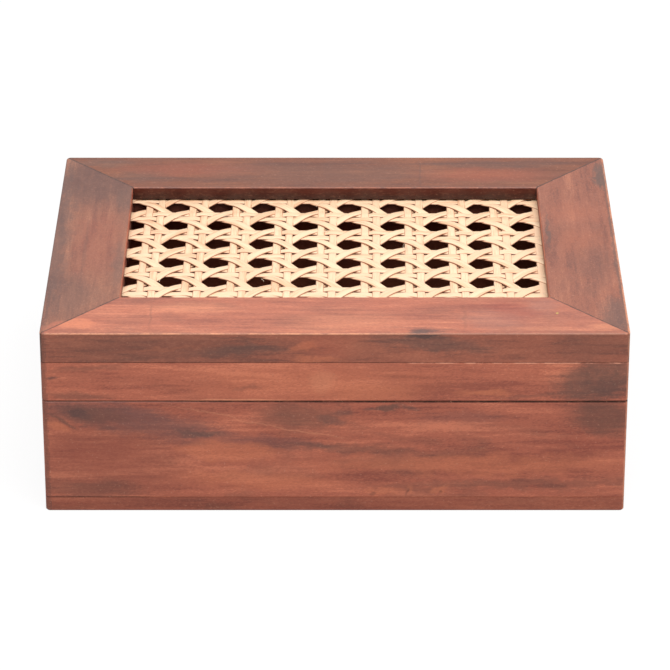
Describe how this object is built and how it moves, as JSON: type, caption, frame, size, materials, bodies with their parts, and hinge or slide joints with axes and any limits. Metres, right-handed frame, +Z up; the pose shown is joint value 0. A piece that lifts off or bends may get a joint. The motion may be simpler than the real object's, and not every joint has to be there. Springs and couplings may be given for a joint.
{
  "type": "hinged box with woven cane lid",
  "caption": "Low rectangular wooden keepsake box; hinged lid with a mitred frame around an open woven cane panel.",
  "frame": {"origin": "middle of the underside, on the surface that the box stands on", "axes": "+X along the width to the right, +Y to the hinged back, +Z up; the front faces -Y"},
  "size_m": [0.162, 0.12, 0.0554],
  "materials": {
    "box_wood": "red-brown stain under a satin varnish, end grain a little darker",
    "lid_frame_wood": "red-brown stain under a satin varnish, end grain a little darker",
    "inner_wood": "thin stain, matt",
    "cane": "bare peeled cane, satin",
    "brass": "satin, slightly dulled"
  },
  "bodies": {
    "base": {"base_back_wall": "box_wood", "base_bottom_board": "box_wood", "base_front_wall": "box_wood", "base_left_wall": "box_wood", "base_right_wall": "box_wood", "hinge_left_base_leaf": "brass", "hinge_left_pin": "brass", "hinge_right_base_leaf": "brass", "hinge_right_pin": "brass"},
    "lid": {"cane_back_bead": "inner_wood", "cane_diagonal_to_back_right": "cane", "cane_diagonal_to_front_right": "cane", "cane_front_bead": "inner_wood", "cane_front_to_back": "cane", "cane_left_bead": "inner_wood", "cane_left_to_right": "cane", "cane_right_bead": "inner_wood", "hinge_left_lid_leaf": "brass", "hinge_right_lid_leaf": "brass", "lid_back_rail": "lid_frame_wood", "lid_back_rim": "box_wood", "lid_front_rail": "lid_frame_wood", "lid_front_rim": "box_wood", "lid_left_rail": "lid_frame_wood", "lid_left_rim": "box_wood", "lid_right_rail": "lid_frame_wood", "lid_right_rim": "box_wood"}
  },
  "joints": [
    {"name": "lid_hinge", "type": "hinge", "parent": "base", "child": "lid", "pos_m": [0, 0.0581, 0.0345], "axis": [-1, 0, 0], "range_deg": [0, 95]}
  ]
}
